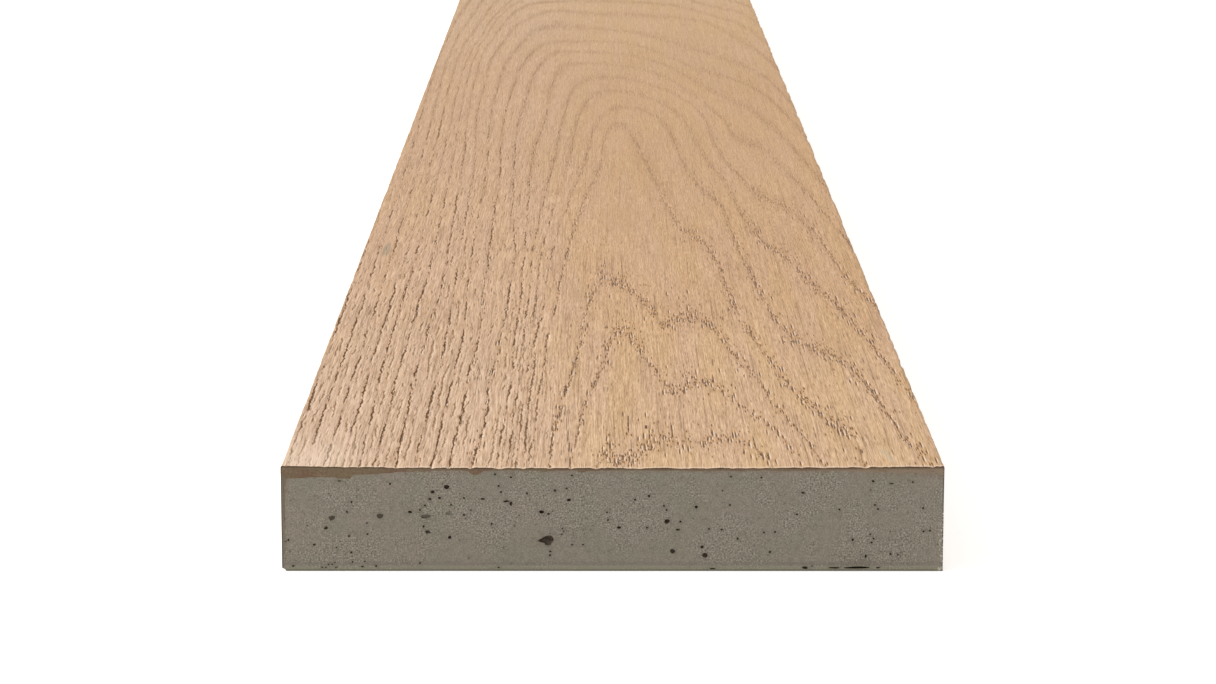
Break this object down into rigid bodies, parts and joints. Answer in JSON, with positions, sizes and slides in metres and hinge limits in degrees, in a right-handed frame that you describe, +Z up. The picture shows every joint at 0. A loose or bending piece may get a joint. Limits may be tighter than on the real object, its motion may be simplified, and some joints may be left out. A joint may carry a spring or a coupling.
{
  "type": "decking board",
  "caption": "Cast mineral-resin decking board: grey aerated core under a thin moulded oak-grain skin that wraps its face and sides, sawn square at the ends.",
  "frame": {"origin": "middle of the underside: half way along the length and half way across the width", "axes": "+Y along the length, away from the sawn end that the picture shows; +X across the width, to the right when looking along +Y; +Z up, out of the wood-grain face"},
  "size_m": [0.2, 3.6, 0.0326],
  "materials": {
    "mineral_core": "sawn, matt, full of small air voids",
    "grain_skin": "moulded brushed-oak relief with darker pores, satin-matt"
  },
  "bodies": {
    "root": {"mineral_resin_core": "mineral_core", "wood_grain_skin": "grain_skin"}
  },
  "joints": []
}
